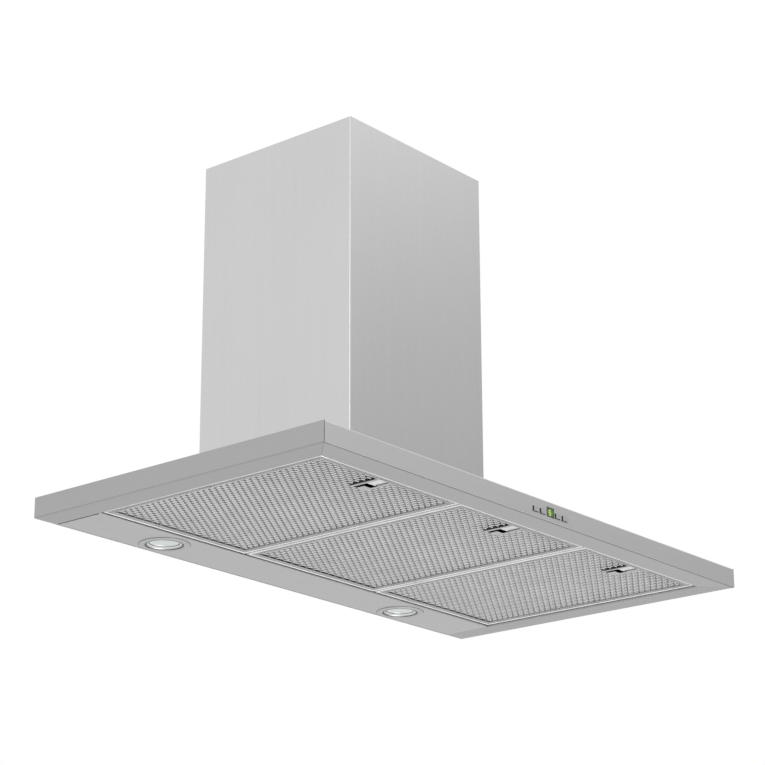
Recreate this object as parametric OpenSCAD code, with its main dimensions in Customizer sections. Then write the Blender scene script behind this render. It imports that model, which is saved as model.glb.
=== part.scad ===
// Wall-mounted chimney range hood: a thin box canopy with three mesh filters
// and two lamps underneath, a push-button panel in its front, a blower on top
// of it, and a telescopic flue that hides the blower and the exhaust duct.
// Origin: middle of the canopy's underside. +X right, +Y to the wall, +Z up.

/* [Canopy] */
// Overall width of the canopy
canopy_w = 900; // [880:10:1000]
// Depth of the canopy from its front to the wall
canopy_d = 500; // [490:5:520]
// Height of the canopy's front
canopy_h = 28; // [28:1:34]
// Thickness of the steel sheet
sheet = 1; // [0.8:0.1:1.1]
// Outside radius of the folds
fold_r = 1.8; // [1.5:0.1:2]
// Width of the rim at the front and the sides
rim_w = 39; // [37:1:42]
// Depth of the lamp panel behind the filters
lamp_panel_d = 80; // [78:1:84]

/* [Flue] */
// Width of the lower flue
flue_w = 294; // [292:1:300]
// Depth of the lower flue, from its front to the wall
flue_d = 280; // [278:1:286]
// Height of the top of the lower flue
flue_top = 600; // [560:10:700]
// Gap between the lower and the upper flue
flue_gap = 0.7; // [0.5:0.1:1]

/* [Filters] */
// Thickness of a filter cassette
filter_h = 9; // [9:0.5:10]
// Width of the frame band round a filter
filter_band = 13; // [12:1:15]
// Gap between two filters
filter_gap = 0.8; // [0.6:0.1:1.2]

/* [Lamps] */
// Distance of a lamp from the middle of the canopy
lamp_x = 250; // [220:5:280]
// Distance of a lamp's centre from the wall
lamp_from_wall = 39; // [38:0.5:40]
// Radius of a lamp's trim ring
lamp_r = 35; // [34:0.5:35]

/* [Controls] */
// Width of a push button
button_w = 11; // [10:0.5:12]
// Height of a push button
button_h = 6.5; // [5:0.5:7]
// How far a push button stands out of the fascia
button_proud = 1.6; // [0:0.2:2]
// Width of the display window
display_w = 16.5; // [15:0.5:17]
// Height of the display window
display_h = 13.6; // [12:0.2:14]

/* [Blower] */
// Outside radius of the exhaust duct collar
duct_r = 75; // [72:0.5:75]
// Radius of the impeller
impeller_r = 70; // [66:1:70]

/* [Hidden] */
$fn = 48;
eps = 0.1;   // how far a cutter runs past the face it cuts

half_w = canopy_w / 2;
half_d = canopy_d / 2;
pocket_x = half_w - rim_w;               // side edge of the filter pocket
pocket_front = -half_d + rim_w;          // front edge of the filter pocket
pocket_rear = half_d - lamp_panel_d;     // rear edge of the filter pocket
seam = 0.3;                              // visible gap between two sheets
front_seam = 1.2;                        // gap between the fascia and the front rim
fascia_short = 0.8;                      // how far the fascia ends above the rims
lip_h = 13.3;                            // height of the lips round the pocket

// Filters
filter_side_gap = 1;
filter_w = (2 * (pocket_x - filter_side_gap - filter_gap)) / 3;
filter_x = [for (i = [-1:1]) i * (filter_w + filter_gap)];
filter_front = pocket_front + 0.8;
filter_rear = pocket_rear - 1.2;
filter_z = 3;                            // height of a filter's underside
filter_skin = 0.8;                       // sheet of the filter frame
tongue_x = 80;                           // rear tongues, from the filter's middle
tongue_w = 14;
tongue_reach = 6;                        // how far a tongue goes past the frame
tongue_slot_h = 5.6;

// Filter latches
latch_w = 30;
latch_front = filter_front + filter_band;
latch_rear = latch_front + 46;
latch_wall = 1.2;
latch_rail_x = 9.6;                      // inner edge of the rails under the slide
slide_z = 4.4;                           // underside of the latch slide
slide_t = 1.6;
slide_front = latch_front + 3;
slide_rear = latch_front + 24;
finger_hole = 8.7;                       // length of the hole behind the slide
latch_slot_x = -3;                       // right edge of the tray's side slot
bolt_w = 12;
bolt_t = 2;
bolt_tip = filter_front - 0.3;
spring_x = 9.5;                          // the latch spring, from the filter's middle
spring_front = latch_front + 8;          // rear face of the slide's lug
spring_rear = latch_front + 18;          // front face of the tray's stop
spring_r = 1.5;
lug_w = 4;
lug_h = 3;

// Lamps
lamp_y = half_d - lamp_from_wall;
lamp_hole_r = lamp_r - 5;
lamp_proud = 1;                          // how far the trim ring stands below the panel
lamp_glass_z = 2.5;                      // the glass is recessed above a reflecting cone
lamp_lens_r = 22.3;

// Controls
display_z = canopy_h / 2 - 0.5;
button_z = display_z - 2.2;
button_x = [-32, -16.5, 16.5, 32];
button_gap = 0.4;                        // gap round a button in the fascia
fascia_back = -half_d + sheet;
board_y = fascia_back + 9;               // front face of the control board

// Flue and blower
flue_front = half_d - flue_d;
duct_y = half_d - flue_d / 2;
upper_x = flue_w / 2 - sheet - flue_gap; // outer face of the upper flue
upper_front = flue_front + sheet + flue_gap;
upper_rear = half_d - 1.4;
upper_bottom = canopy_h + 4;
upper_top = flue_top - 2;
box_x = 132;
box_front = flue_front + 16;
box_rear = half_d - 18;
box_top = 300;
box_flange = 12;
opening_x = 118;                         // the hole in the canopy under the blower
opening_front = 0;
opening_rear = 160;
impeller_y = duct_y - 22;
impeller_z = 150;
scroll_x = 75;                           // half the width of the scroll
scroll_t = 2.5;
inlet_r = 56;
shaft_r = 4;
motor_r = 42;
pin_r = 1.5;
pin_gap = 4;                             // each damper pin, from the duct's middle
pin_z = box_top + 9;
collar_top = box_top + 45;
junction_x = 92;
junction_rear = 150;
junction_h = 34;
gland_at = [111, 50];
lead_at = [[124, 10], [124, 140], [110, impeller_y]];  // where the leads come up
screw_r = 2.1;
screw_head_r = 3.5;
screw_head_t = 2;
wall_hole_r = 4;
wall_hole_x = 95;
wall_hole_z = [80, 280];
bracket_z = upper_top - 38;
bracket_hole_x = 60;

flue_screw_at = [
    for (s = [-1, 1]) for (y = [60, 200]) [s * (flue_w / 2 - 8), y],
    for (s = [-1, 1]) [s * 90, flue_front + 8]
];
blower_screw_at = [for (s = [-1, 1]) for (y = [20, 200]) [s * (box_x - 7), y]];
collar_screw_at = [for (s = [-1, 1]) for (t = [-1, 1]) [s * 77, duct_y + t * 77]];
frame_screw_at = [for (s = [-1, 1]) for (z = [120, 240]) [s * 112, z]];

steel = "silver";
bright_steel = "gainsboro";
galvanised = "lightgrey";
black_plastic = [0.15, 0.15, 0.16];

// ---------- helpers ----------

// A box from its lowest to its highest corner
module block(low, high) {
    translate(low)
        cube(high - low);
}

// A cylinder along +X from x = 0
module rod_x(r, length) {
    rotate([0, 90, 0])
        cylinder(r = r, h = length);
}

// A cylinder along +Y from y = 0
module rod_y(r, length) {
    rotate([-90, 0, 0])
        cylinder(r = r, h = length);
}

// Outline of a shallow pan: w wide, h high, its two lower corners rounded by r
module pan_outline(w, h, r) {
    translate([r, 0])
        square([w - 2 * r, h]);
    translate([0, r])
        square([w, h - r]);
    for (x = [r, w - r])
        translate([x, r])
            circle(r = r);
}

// Section of a folded channel: base w wide, with a leg up at each end
module channel(w, near_leg, far_leg) {
    tall = max(near_leg, far_leg);
    difference() {
        pan_outline(w, tall, fold_r);
        translate([sheet, sheet])
            pan_outline(w - 2 * sheet, tall, fold_r - sheet);
        translate([-eps, near_leg])
            square([w / 2, tall]);
        translate([w / 2, far_leg])
            square([w / 2 + eps, tall]);
    }
}

// A screw with a pan head, standing on z = 0 and reaching down by grip
module screw(grip) {
    cylinder(r = screw_head_r, h = screw_head_t);
    translate([0, 0, -grip])
        cylinder(r = screw_r, h = grip + eps);
}

// A square lead, w thick, through points that are each straight along one axis
// from the one before
module lead(points, w) {
    half = [w / 2, w / 2, w / 2];
    for (i = [0:len(points) - 2]) {
        p = points[i];
        q = points[i + 1];
        block([min(p.x, q.x), min(p.y, q.y), min(p.z, q.z)] - half,
              [max(p.x, q.x), max(p.y, q.y), max(p.z, q.z)] + half);
    }
}

// Cuts away what lies past the mitre at the canopy's front left corner.
// side = 1 cuts the front rim's share, side = -1 the side rim's share.
module mitre_cut(side) {
    translate([-half_w, -half_d, -eps])
        rotate(45)
            translate([-60, side > 0 ? -seam / 2 : -100 + seam / 2, 0])
                cube([200, 100, canopy_h]);
}

// ---------- canopy ----------

module canopy_shell() {
    color(steel)
        difference() {
            translate([-half_w + sheet, half_d, canopy_h])
                rotate([180, 0, 0])
                    rotate([90, 0, 90])
                        linear_extrude(canopy_w - 2 * sheet)
                            channel(canopy_d, canopy_h, canopy_h - fascia_short);
            block([-opening_x, opening_front, canopy_h - sheet - eps],
                  [opening_x, opening_rear, canopy_h + eps]);
            for (p = concat(flue_screw_at, blower_screw_at))
                translate([p.x, p.y, canopy_h - sheet - eps])
                    cylinder(r = screw_r, h = sheet + 2 * eps);
            block([-display_w / 2, -half_d - eps, display_z - display_h / 2],
                  [display_w / 2, fascia_back + eps, display_z + display_h / 2]);
            for (x = button_x)
                block([x - button_w / 2 - button_gap, -half_d - eps,
                       button_z - button_h / 2 - button_gap],
                      [x + button_w / 2 + button_gap, fascia_back + eps,
                       button_z + button_h / 2 + button_gap]);
        }
}

module left_side_panel() {
    color(steel)
        difference() {
            translate([-half_w, half_d, 0])
                rotate([90, 0, 0])
                    linear_extrude(canopy_d)
                        channel(rim_w, canopy_h, lip_h);
            mitre_cut(-1);
            // room for the canopy shell's fascia and rear flange
            for (y = [-half_d - eps, half_d - sheet])
                block([-half_w + sheet, y, -eps],
                      [-pocket_x + eps, y + sheet + eps, canopy_h]);
        }
}

module right_side_panel() {
    mirror([1, 0, 0])
        left_side_panel();
}

module front_rim() {
    rim_front = fascia_back + front_seam;
    color(steel)
        difference() {
            translate([-half_w + sheet, rim_front, 0])
                rotate([90, 0, 90])
                    linear_extrude(canopy_w - 2 * sheet)
                        channel(pocket_front - rim_front, 4.6, lip_h);
            mitre_cut(1);
            mirror([1, 0, 0])
                mitre_cut(1);
            // the lip stops at the side panels' lips
            for (s = [-1, 1])
                translate([s * (pocket_x + 10 - eps), pocket_front, lip_h / 2 + sheet])
                    cube([20, 2 * sheet + eps, lip_h], center = true);
            // slots for the filters' bolts
            for (x = filter_x)
                block([x - bolt_w / 2 - 2, pocket_front - sheet - eps, slide_z + slide_t - 1],
                      [x + bolt_w / 2 + 2, pocket_front + eps, slide_z + slide_t + bolt_t + 1]);
        }
}

module lamp_panel() {
    panel_rear = half_d - sheet - seam;
    left_end = -pocket_x + 4 * seam;
    right_end = pocket_x - seam;
    color(steel)
        difference() {
            translate([left_end, pocket_rear, 0])
                rotate([90, 0, 90])
                    linear_extrude(right_end - left_end)
                        channel(panel_rear - pocket_rear, lip_h, lip_h);
            for (s = [-1, 1])
                translate([s * lamp_x, lamp_y, -eps])
                    cylinder(r = lamp_hole_r, h = sheet + 2 * eps, $fn = 96);
            // slots for the filters' rear tongues
            for (x = filter_x)
                for (s = [-1, 1])
                    block([x + s * tongue_x - tongue_w / 2 - 1, pocket_rear - eps, filter_z - 0.4],
                          [x + s * tongue_x + tongue_w / 2 + 1, pocket_rear + sheet + eps,
                           filter_z - 0.4 + tongue_slot_h]);
        }
}

// ---------- filters ----------

module filter_frame(x) {
    low = [x - filter_w / 2, filter_front, filter_z];
    high = [x + filter_w / 2, filter_rear, filter_z + filter_h];
    skin = [filter_skin, filter_skin, filter_skin];
    band = [filter_band, filter_band, -eps];
    groove_in = 5.5;                     // the pressed groove, from the outer edge
    groove_w = 2;
    groove_t = 0.3;
    color(bright_steel) {
        difference() {
            block(low, high);
            block(low + skin, high - skin);
            block(low + band, high - band);
            difference() {
                block([low.x + groove_in, low.y + groove_in, low.z - eps],
                      [high.x - groove_in, high.y - groove_in, low.z + groove_t]);
                block([low.x + groove_in + groove_w, low.y + groove_in + groove_w, low.z - 1],
                      [high.x - groove_in - groove_w, high.y - groove_in - groove_w, low.z + 1]);
            }
            // drain hole in the rear right corner
            translate([high.x - filter_band + 2, high.y - filter_band + 2, low.z - eps])
                cylinder(r = 2.2, h = filter_skin + 2 * eps);
            // the bolt's hole
            block([x - bolt_w / 2 - 0.4, low.y - eps, slide_z + slide_t - 0.4],
                  [x + bolt_w / 2 + 0.4, low.y + filter_skin + eps, slide_z + slide_t + bolt_t + 0.4]);
        }
        for (s = [-1, 1])
            block([x + s * tongue_x - tongue_w / 2, high.y - filter_skin, low.z],
                  [x + s * tongue_x + tongue_w / 2, high.y + tongue_reach, low.z + filter_skin]);
    }
}

// Two layers of mesh sheet, held inside the frame's band. Each is in three
// strips, beside the latch's tray and behind it.
module filter_mesh(x) {
    side = filter_w / 2 - filter_skin - 0.4;
    front = filter_front + filter_skin + 0.4;
    rear = filter_rear - filter_skin - 0.4;
    tray_side = latch_w / 2 + 0.2;
    layer_t = 0.8;
    strip_gap = 0.1;
    color(bright_steel)
        for (z = [filter_z + filter_skin + 0.2, filter_z + filter_h - filter_skin - layer_t - 0.2]) {
            block([x - side, latch_rear + strip_gap, z], [x + side, rear, z + layer_t]);
            block([x - side, front, z], [x - tray_side, latch_rear, z + layer_t]);
            block([x + tray_side, front, z], [x + side, latch_rear, z + layer_t]);
        }
}

module latch_tray(x) {
    top = filter_z + filter_h - 1.2;
    color(bright_steel) {
        difference() {
            block([x - latch_w / 2, latch_front, filter_z], [x + latch_w / 2, latch_rear, top]);
            block([x - latch_w / 2 + latch_wall, latch_front + latch_wall, filter_z - eps],
                  [x + latch_w / 2 - latch_wall, latch_rear - latch_wall, top - 1]);
            block([x - bolt_w / 2 - 0.4, latch_front - eps, slide_z + slide_t - 0.4],
                  [x + bolt_w / 2 + 0.4, latch_front + latch_wall + eps,
                   slide_z + slide_t + bolt_t + 0.4]);
        }
        // rails that carry the slide
        for (s = [-1, 1])
            translate([x + s * (latch_rail_x + latch_w / 2) / 2, 0, 0])
                block([-(latch_w / 2 - latch_rail_x) / 2, latch_front, filter_z],
                      [(latch_w / 2 - latch_rail_x) / 2, latch_rear, slide_z - 0.3]);
        // the plate behind the finger hole, beside the slot
        block([x + latch_slot_x, slide_rear + finger_hole, filter_z],
              [x + latch_rail_x + eps, latch_rear - eps, slide_z - 0.3]);
        // the stop that the spring pushes on
        translate([x + spring_x, 0, 0])
            block([-lug_w / 2, spring_rear, slide_z + slide_t + 0.3], [lug_w / 2, spring_rear + 2, top]);
    }
}

module latch_slide(x) {
    half = latch_w / 2 - latch_wall - 0.6;
    top = slide_z + slide_t;
    color(bright_steel) {
        block([x - half, slide_front, slide_z], [x + half, slide_rear, top]);
        block([x - bolt_w / 2, bolt_tip, top], [x + bolt_w / 2, slide_front + 12, top + bolt_t]);
        translate([x + spring_x, 0, 0])
            block([-lug_w / 2, spring_front - 2, top], [lug_w / 2, spring_front, top + lug_h]);
        // the curled edge that a finger pulls
        translate([x - 8, slide_rear, slide_z + slide_t / 2])
            rod_x(1.4, 16);
    }
}

module latch_spring(x) {
    length = spring_rear - spring_front - 0.2;
    color("grey")
        translate([x + spring_x, spring_front + 0.1, slide_z + slide_t + spring_r + 0.1])
            difference() {
                rod_y(spring_r, length);
                translate([0, -eps, 0])
                    rod_y(spring_r - 0.5, length + 2 * eps);
            }
}

// ---------- controls ----------

module button(x) {
    guide = [button_w / 2 + 1.2, 0, button_h / 2 + 1.2];
    color(steel)
        translate([x, -half_d, button_z]) {
            block([-button_w / 2, -button_proud, -button_h / 2],
                  [button_w / 2, sheet + 4, button_h / 2]);
            block([-guide.x, sheet + 0.3, -guide.z], [guide.x, sheet + 1.3, guide.z]);
        }
}

module display_window() {
    color([0.1, 0.35, 0.12])
        translate([0, -half_d, display_z]) {
            block([-display_w / 2 + 0.15, 0.15, -display_h / 2 + 0.15],
                  [display_w / 2 - 0.15, sheet, display_h / 2 - 0.15]);
            block([-display_w / 2 - 1.1, sheet, -display_h / 2 - 0.6],
                  [display_w / 2 + 1.1, sheet + 0.8, display_h / 2 + 0.6]);
        }
}

module display_module() {
    color(black_plastic)
        block([-display_w / 2 + 0.5, fascia_back + 1, display_z - display_h / 2 + 0.3],
              [display_w / 2 - 0.5, board_y, display_z + display_h / 2 - 0.3]);
}

module control_housing() {
    wall = 1.2;
    half = 44;
    low_z = 5.2;
    high_z = display_z + display_h / 2 + 2.5;
    depth = 18;
    color(black_plastic)
        difference() {
            block([-half, fascia_back, low_z], [half, fascia_back + depth, high_z]);
            block([-half + wall, fascia_back - eps, low_z + wall - 0.6],
                  [half - wall, fascia_back + depth - wall, high_z - wall]);
        }
}

module control_board() {
    color("darkgreen")
        block([-42, board_y, 6.4], [42, board_y + 1.6, display_z + display_h / 2]);
}

module tact_switches() {
    body = 6;
    color("dimgrey")
        for (x = button_x)
            translate([x, board_y, button_z]) {
                block([-body / 2, -2.6, -body / 2 + 0.4], [body / 2, 0, body / 2]);
                translate([0, -2.6 - 0.9, 0])
                    rod_y(1.6, 0.9 + eps);
            }
}

// ---------- lamps ----------

module lamp_bezel(x) {
    skirt = lamp_hole_r - 1;             // the sleeve that goes up through the panel
    lens_r = lamp_lens_r - 1.3;          // what shows of the glass
    color(bright_steel)
        translate([x, lamp_y, 0])
            rotate_extrude($fn = 96)
                polygon([
                    [lamp_r, 0], [lamp_r - 0.2, -0.6], [lamp_r - 1, -lamp_proud], [26.6, -lamp_proud],
                    [26.2, 0.4], [25.3, 0.4], [25, -0.5], [24.2, -0.5], [lens_r, lamp_glass_z - 0.4],
                    [lens_r, lamp_glass_z], [24.5, lamp_glass_z], [27, 1.8], [skirt - 1, 1.8],
                    [skirt - 1, 8], [skirt, 8], [skirt, 0]
                ]);
}

module lamp_glass(x) {
    color([0.85, 0.95, 0.92])
        translate([x, lamp_y, lamp_glass_z])
            cylinder(r = lamp_lens_r, h = 2, $fn = 96);
}

module lamp_can(x) {
    color(galvanised)
        translate([x, lamp_y, sheet])
            difference() {
                cylinder(r = lamp_hole_r + 3, h = 24);
                translate([0, 0, -eps])
                    cylinder(r = lamp_hole_r + 2, h = 23 + eps);
            }
}

module lamp_bulb(x) {
    color("white")
        translate([x, lamp_y, 0]) {
            translate([0, 0, 18])
                cylinder(r = 9, h = 6);
            translate([0, 0, 13.5])
                cylinder(r = 4.5, h = 4.5 + eps);
            translate([0, 0, 13.5])
                sphere(r = 4.5);
        }
}

module lamp_driver() {
    color("white")
        block([-60, lamp_y - 28, 3], [60, lamp_y + 28, 21]);
    color("white")
        for (s = [-1, 1])
            block([s * 52 - 6, lamp_y - 28, sheet], [s * 52 + 6, lamp_y + 28, 3]);
}

module lamp_leads() {
    reach = lamp_x - lamp_hole_r - 3.2 - 60;
    color("white")
        for (s = [0, 1])
            mirror([s, 0, 0])
                translate([60, lamp_y, 15])
                    rod_x(2.2, reach);
}

// ---------- blower ----------

module blower_box() {
    color(galvanised)
        difference() {
            block([-box_x, box_front, canopy_h], [box_x, box_rear, box_top]);
            block([-box_x + sheet, box_front + sheet, canopy_h + sheet],
                  [box_x - sheet, box_rear - sheet, box_top - sheet]);
            block([-box_x + box_flange, box_front + box_flange, canopy_h - eps],
                  [box_x - box_flange, box_rear - box_flange, canopy_h + sheet + eps]);
            translate([0, duct_y, box_top - sheet - eps])
                cylinder(r = duct_r - 2.5, h = sheet + 2 * eps, $fn = 96);
            for (p = blower_screw_at)
                translate([p.x, p.y, canopy_h - eps])
                    cylinder(r = screw_r, h = sheet + 2 * eps);
            for (p = collar_screw_at)
                translate([p.x, p.y, box_top - sheet - eps])
                    cylinder(r = screw_r, h = sheet + 2 * eps);
            for (p = frame_screw_at)
                translate([p.x, box_rear - sheet - eps, p.y])
                    rod_y(screw_r, sheet + 2 * eps);
            for (p = lead_at)
                translate([p.x, p.y, box_top - sheet - eps])
                    cylinder(r = 4, h = sheet + 2 * eps);
        }
}

// The scroll's outline in the YZ plane, grown or shrunk by inset: a spiral
// round the impeller from the tongue, then the outlet that widens to the duct
function scroll_r(turn) = impeller_r + 6 + 36 * (turn - 70) / 290;
function scroll_points(inset) = concat(
    [for (turn = [70:10:360])
        [impeller_y + (scroll_r(turn) - inset) * cos(turn),
         impeller_z + (scroll_r(turn) - inset) * sin(turn)]],
    [[duct_y + 74 - inset, box_top - 1], [duct_y - 74 + inset, box_top - 1]]
);

module scroll_half(side) {
    color(black_plastic)
        mirror([side < 0 ? 1 : 0, 0, 0])
            difference() {
                union() {
                    rotate([90, 0, 90])
                        linear_extrude(scroll_x)
                            polygon(scroll_points(0));
                    // the flange where the two halves meet
                    rotate([90, 0, 90])
                        linear_extrude(3)
                            intersection() {
                                polygon(scroll_points(-5));
                                translate([box_front + sheet + 2, canopy_h + 10])
                                    square([box_rear - box_front - 2 * sheet - 4,
                                            box_top - canopy_h - 12]);
                            }
                    translate([scroll_x - eps, impeller_y, impeller_z])
                        rod_x(inlet_r + 8, 5 + eps);
                }
                translate([-eps, 0, 0])
                    rotate([90, 0, 90])
                        linear_extrude(scroll_x - scroll_t + eps)
                            polygon(scroll_points(scroll_t));
                // the outlet stays open at the top
                block([-eps, duct_y - 74 + scroll_t, box_top - 12],
                      [scroll_x - scroll_t, duct_y + 74 - scroll_t, box_top + eps]);
                translate([scroll_x - scroll_t - eps, impeller_y, impeller_z])
                    rod_x(inlet_r, 10);
            }
}

module impeller() {
    blades = 30;
    length = 116;
    ring_in = impeller_r - 12;
    color(black_plastic)
        translate([-length / 2, impeller_y, impeller_z])
            rotate([0, 90, 0])
                difference() {
                    union() {
                        linear_extrude(length)
                            for (i = [0:blades - 1])
                                rotate(i * 360 / blades)
                                    translate([impeller_r - 6, 0])
                                        rotate(35)
                                            square([13, 1.2], center = true);
                        for (z = [0, length - 3])
                            translate([0, 0, z])
                                difference() {
                                    cylinder(r = impeller_r, h = 3, $fn = 96);
                                    translate([0, 0, -eps])
                                        cylinder(r = ring_in, h = 3 + 2 * eps, $fn = 96);
                                }
                        translate([0, 0, length / 2 - 1])
                            cylinder(r = impeller_r, h = 2, $fn = 96);
                        translate([0, 0, length / 2 - 6])
                            cylinder(r = 9, h = 12);
                    }
                    translate([0, 0, length / 2 - 10])
                        cylinder(r = shaft_r, h = 20);
                }
}

module motor_shaft() {
    color("silver")
        translate([-8, impeller_y, impeller_z])
            rod_x(shaft_r, 50);
}

module motor() {
    color("slategrey")
        translate([8, impeller_y, impeller_z])
            difference() {
                union() {
                    rod_x(motor_r - 4, 6);
                    translate([5, 0, 0])
                        rod_x(motor_r, 60);
                    translate([64, 0, 0])
                        rod_x(motor_r - 6, 8);
                }
                translate([-eps, 0, 0])
                    rod_x(shaft_r + 0.05, 36);
                // ventilation slots
                for (a = [0:30:330])
                    rotate([a, 0, 0])
                        block([16, motor_r - 3, -3], [52, motor_r + eps, 3]);
            }
}

module motor_bracket() {
    color(galvanised)
        translate([scroll_x + 5, impeller_y, impeller_z])
            rotate([0, 90, 0])
                linear_extrude(3) {
                    circle(r = 30);
                    for (a = [0, 120, 240])
                        rotate(a)
                            translate([20, -8])
                                square([inlet_r - 13, 16]);
                }
}

module outlet_collar() {
    base = 82.5;
    base_t = 1.2;
    color(black_plastic)
        translate([0, duct_y, box_top])
            difference() {
                union() {
                    block([-base, -base, 0], [base, base, base_t]);
                    cylinder(r = duct_r, h = collar_top - box_top, $fn = 96);
                }
                translate([0, 0, -eps])
                    cylinder(r = duct_r - 2.5, h = collar_top - box_top + 2 * eps, $fn = 96);
                for (p = collar_screw_at)
                    translate([p.x, p.y - duct_y, -eps])
                        cylinder(r = screw_r, h = base_t + 2 * eps);
                for (s = [-1, 1])
                    translate([-duct_r - eps, s * pin_gap, pin_z - box_top])
                        rod_x(pin_r, 2 * duct_r + 2 * eps);
            }
}

module damper_pins() {
    color("silver")
        for (s = [-1, 1])
            translate([-duct_r + 1, duct_y + s * pin_gap, pin_z])
                rod_x(pin_r, 2 * duct_r - 2);
}

// side = -1 is the flap in front of the pins, side = 1 the one behind them
module damper_flap(side) {
    flap_r = duct_r - 4.5;
    flap_t = 1.2;
    barrel_r = 3;
    barrel_x = 60;
    color("dimgrey")
        difference() {
            union() {
                intersection() {
                    translate([0, duct_y, pin_z - flap_t / 2])
                        cylinder(r = flap_r, h = flap_t, $fn = 96);
                    translate([0, duct_y + side * (pin_gap + 50), pin_z])
                        cube([2 * duct_r, 100, 10], center = true);
                }
                translate([-barrel_x, duct_y + side * pin_gap, pin_z])
                    rod_x(barrel_r, 2 * barrel_x);
            }
            translate([-duct_r, duct_y + side * pin_gap, pin_z])
                rod_x(pin_r + 0.05, 2 * duct_r);
        }
}

// ---------- electrical boxes and leads ----------

module junction_box() {
    wall = 2;
    color("white")
        difference() {
            block([junction_x, 2, box_top], [box_x - 2, junction_rear, box_top + junction_h]);
            block([junction_x + wall, 2 + wall, box_top + wall],
                  [box_x - 2 - wall, junction_rear - wall, box_top + junction_h + eps]);
            for (p = lead_at)
                translate([p.x, p.y, box_top - eps])
                    cylinder(r = 3, h = wall + 2 * eps);
        }
}

module junction_box_lid() {
    lid_t = 2;
    color("white")
        difference() {
            block([junction_x, 2, box_top + junction_h],
                  [box_x - 2, junction_rear, box_top + junction_h + lid_t]);
            translate([gland_at.x, gland_at.y, box_top + junction_h - eps])
                cylinder(r = 7, h = lid_t + 2 * eps);
        }
}

module cable_gland() {
    base_z = box_top + junction_h + 2;
    color(black_plastic)
        translate([gland_at.x, gland_at.y, base_z])
            difference() {
                union() {
                    translate([0, 0, -10])
                        cylinder(r = 7, h = 10 + eps);
                    cylinder(r = 11, h = 5, $fn = 6);
                    translate([0, 0, 5 - eps])
                        cylinder(r = 9, h = 13);
                }
                translate([0, 0, -10 - eps])
                    cylinder(r = 4.2, h = 30);
            }
}

module blower_leads() {
    w = 4;
    low_z = 36;                          // under the scroll
    top_z = box_top + 6;
    control = lead_at[0];
    driver = lead_at[1];
    motor = lead_at[2];
    color("ivory") {
        lead([[36, fascia_back + 20.1, 16], [36, control.y, 16], [36, control.y, low_z],
              [control.x, control.y, low_z], [control.x, control.y, top_z]], w);
        lead([[50, lamp_y - 30.1, 17], [50, driver.y, 17], [50, driver.y, low_z],
              [driver.x, driver.y, low_z], [driver.x, driver.y, top_z]], w);
        lead([[scroll_x + 10.1, motor.y, impeller_z], [motor.x, motor.y, impeller_z],
              [motor.x, motor.y, top_z]], w);
    }
}

// ---------- wall frame and flue ----------

module wall_frame() {
    half = 120;
    t = 1.5;
    low_z = canopy_h + sheet;
    high_z = 330;
    color(galvanised)
        difference() {
            union() {
                block([-half, half_d - t, low_z], [half, half_d, high_z]);
                for (s = [-1, 1]) {
                    translate([s * (half - t / 2), 0, 0])
                        block([-t / 2, box_rear, low_z], [t / 2, half_d, high_z]);
                    translate([s * (half - 8), 0, 0])
                        block([-8, box_rear, low_z], [8, box_rear + t, box_top - 2]);
                }
            }
            for (s = [-1, 1])
                for (z = wall_hole_z)
                    translate([s * wall_hole_x, half_d - t - eps, z])
                        rod_y(wall_hole_r, t + 2 * eps);
            for (p = frame_screw_at)
                translate([p.x, box_rear - eps, p.y])
                    rod_y(screw_r, t + 2 * eps);
            // lightening window, which also lets a cable through from the wall
            block([-60, half_d - t - eps, 120], [60, half_d + eps, 250]);
        }
}

// Plan of a flue: a U that is open to the wall, with a short return at each side
module flue_plan(half, front, rear, return_w) {
    difference() {
        translate([-half, front])
            pan_outline(2 * half, rear - front, fold_r);
        translate([-half + sheet, front + sheet])
            pan_outline(2 * (half - sheet), rear - front - 2 * sheet, fold_r - sheet);
        translate([-half + return_w, rear - 2 * sheet])
            square([2 * (half - return_w), 3 * sheet]);
    }
}

module lower_flue() {
    flange = 14;
    color(steel)
        difference() {
            union() {
                translate([0, 0, canopy_h])
                    linear_extrude(flue_top - canopy_h)
                        flue_plan(flue_w / 2, flue_front, half_d, 15);
                translate([0, 0, canopy_h])
                    linear_extrude(sheet)
                        flue_plan_flange(flange);
            }
            for (p = flue_screw_at)
                translate([p.x, p.y, canopy_h - eps])
                    cylinder(r = screw_r, h = sheet + 2 * eps);
        }
}

// The foot of the lower flue: strips turned in at its front and sides
module flue_plan_flange(flange) {
    inner = flue_w / 2 - sheet / 2;
    for (s = [0, 1])
        mirror([s, 0])
            translate([inner - flange, flue_front + 30])
                square([flange, flue_d - 60]);
    translate([-inner + 25, flue_front + sheet / 2])
        square([2 * inner - 50, flange]);
}

module upper_flue() {
    slot_pitch = 9;
    slots = 7;
    color(steel)
        difference() {
            translate([0, 0, upper_bottom])
                linear_extrude(upper_top - upper_bottom)
                    flue_plan(upper_x, upper_front, upper_rear, 15);
            // vent slots in both sides near the top
            for (i = [0:slots - 1])
                for (y = [duct_y - 60, duct_y + 10])
                    block([-upper_x - eps, y, upper_top - 100 + i * slot_pitch],
                          [upper_x + eps, y + 50, upper_top - 96 + i * slot_pitch]);
        }
}

// Bolted to the wall under the ceiling; the upper flue is screwed to its ears
module flue_bracket() {
    t = 1.5;
    outer = upper_x - sheet;
    rear = upper_rear - sheet;
    color(galvanised)
        difference() {
            union() {
                block([-outer, rear - t, bracket_z], [outer, rear, bracket_z + 30]);
                for (s = [-1, 1])
                    translate([s * (outer - t / 2), 0, 0])
                        block([-t / 2, rear - 45, bracket_z], [t / 2, rear, bracket_z + 30]);
                block([-100, rear - t, bracket_z], [100, half_d, bracket_z + 30]);
            }
            for (s = [-1, 1])
                translate([s * bracket_hole_x, rear - t - eps, bracket_z + 15])
                    rod_y(wall_hole_r, 10);
        }
}

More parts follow.
